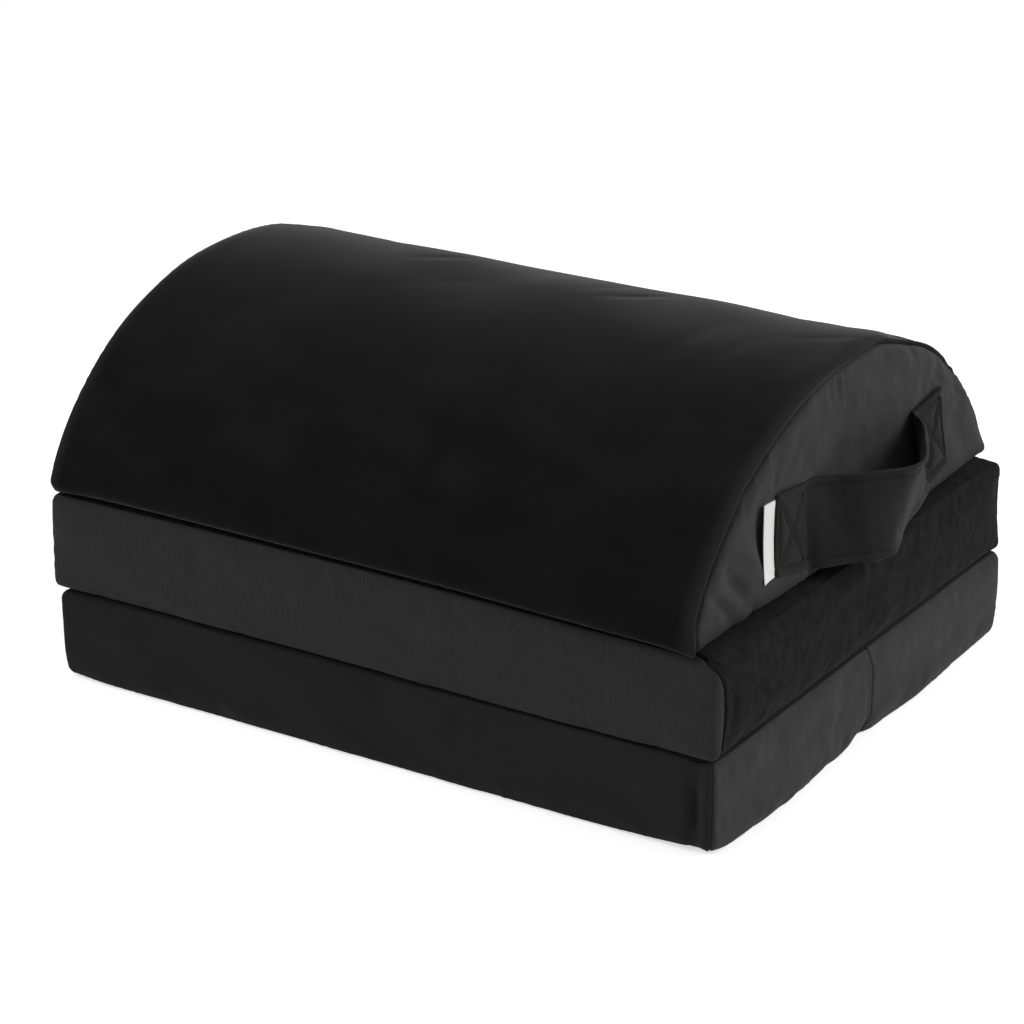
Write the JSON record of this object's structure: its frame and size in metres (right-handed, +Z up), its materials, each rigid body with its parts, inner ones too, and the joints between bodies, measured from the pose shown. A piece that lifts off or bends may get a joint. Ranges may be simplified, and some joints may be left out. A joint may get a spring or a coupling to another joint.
{
  "type": "foam footrest",
  "caption": "Under-desk foam footrest: a half-round cushion with a side strap handle on stacked flat pads, in zip-off fabric covers, for resting feet at an adjustable height.",
  "frame": {"origin": "centre of the base pad's flat underside, on the floor", "axes": "+Z up, +X along the footrest towards the end with the strap handle, -Y towards the front long side"},
  "size_m": [0.4551, 0.3493, 0.2199],
  "materials": {
    "black_velour": "matte black short-pile velour",
    "charcoal_cloth": "matte charcoal brushed cloth",
    "matte_cloth": "matte black brushed cloth",
    "speckled_knit": "fine speckled knit",
    "black_plush": "short plush pile",
    "strap_cloth": "hemmed and stitched strap cloth",
    "grey_foam": "open-cell foam",
    "non_slip_cloth": "cloth with raised rubber dots",
    "hook_tape": "hook tape",
    "loop_tape": "loop tape",
    "zip_tape": "woven tape with a nylon coil",
    "zip_metal": "black painted zinc",
    "white_label": "white woven ribbon, blank"
  },
  "bodies": {
    "base_pad": {"base_foam": "grey_foam", "base_top_panel": "matte_cloth", "base_non_slip_panel": "non_slip_cloth", "base_front_panel": "matte_cloth", "base_left_panel": "charcoal_cloth", "base_rear_panel": "matte_cloth", "base_end_panel_front": "charcoal_cloth", "base_end_panel_rear": "charcoal_cloth", "base_zip_tape": "zip_tape", "base_loop_strip_left": "loop_tape", "base_loop_strip_right": "loop_tape"},
    "middle_pad": {"middle_foam": "grey_foam", "middle_top_panel": "black_plush", "middle_base_panel": "charcoal_cloth", "middle_front_panel": "speckled_knit", "middle_left_panel": "black_plush", "middle_rear_panel": "speckled_knit", "middle_right_panel": "black_plush", "middle_zip_tape": "zip_tape", "middle_hook_strip_left": "hook_tape", "middle_hook_strip_right": "hook_tape", "middle_loop_strip_left": "loop_tape", "middle_loop_strip_right": "loop_tape"},
    "top_cushion": {"dome_foam": "grey_foam", "dome_top_panel": "black_velour", "dome_right_panel": "charcoal_cloth", "dome_left_panel": "charcoal_cloth", "dome_base_panel": "charcoal_cloth", "dome_zip_tape": "zip_tape", "dome_hook_strip_left": "hook_tape", "dome_hook_strip_right": "hook_tape", "strap_front_end": "strap_cloth", "strap_rear_end": "strap_cloth", "side_label": "white_label"},
    "handle": {"strap_loop": "strap_cloth"},
    "base_slider": {"base_zip_slider": "zip_metal"},
    "base_pull": {"base_zip_pull": "zip_metal"},
    "middle_slider": {"middle_zip_slider": "zip_metal"},
    "middle_pull": {"middle_zip_pull": "zip_metal"},
    "dome_slider": {"dome_zip_slider": "zip_metal"},
    "dome_pull": {"dome_zip_pull": "zip_metal"}
  },
  "joints": [
    {"name": "middle_lift", "type": "slide", "parent": "base_pad", "child": "middle_pad", "axis": [0, 0, 1], "range_m": [0, 0.12]},
    {"name": "top_lift", "type": "slide", "parent": "middle_pad", "child": "top_cushion", "axis": [0, 0, 1], "range_m": [0, 0.12]},
    {"name": "handle_swing", "type": "hinge", "parent": "top_cushion", "child": "handle", "pos_m": [0.20045, 0, 0.14325], "axis": [0, -1, 0], "range_deg": [-25, 25]},
    {"name": "base_zip_slide", "type": "slide", "parent": "base_pad", "child": "base_slider", "axis": [-1, 0, 0], "range_m": [0, 0.3]},
    {"name": "base_pull_flip", "type": "hinge", "parent": "base_slider", "child": "base_pull", "pos_m": [0.15, 0.17475, 0.026], "axis": [0, 0, -1], "range_deg": [0, 170]},
    {"name": "middle_zip_slide", "type": "slide", "parent": "middle_pad", "child": "middle_slider", "axis": [-1, 0, 0], "range_m": [0, 0.3]},
    {"name": "middle_pull_flip", "type": "hinge", "parent": "middle_slider", "child": "middle_pull", "pos_m": [0.148, 0.17475, 0.0827], "axis": [0, 0, -1], "range_deg": [0, 170]},
    {"name": "dome_zip_slide", "type": "slide", "parent": "top_cushion", "child": "dome_slider", "axis": [-1, 0, 0], "range_m": [0, 0.3]},
    {"name": "dome_pull_flip", "type": "hinge", "parent": "dome_slider", "child": "dome_pull", "pos_m": [0.143, 0.16553, 0.13777], "axis": [0, 0.4991, -0.8665], "range_deg": [0, 170]}
  ]
}
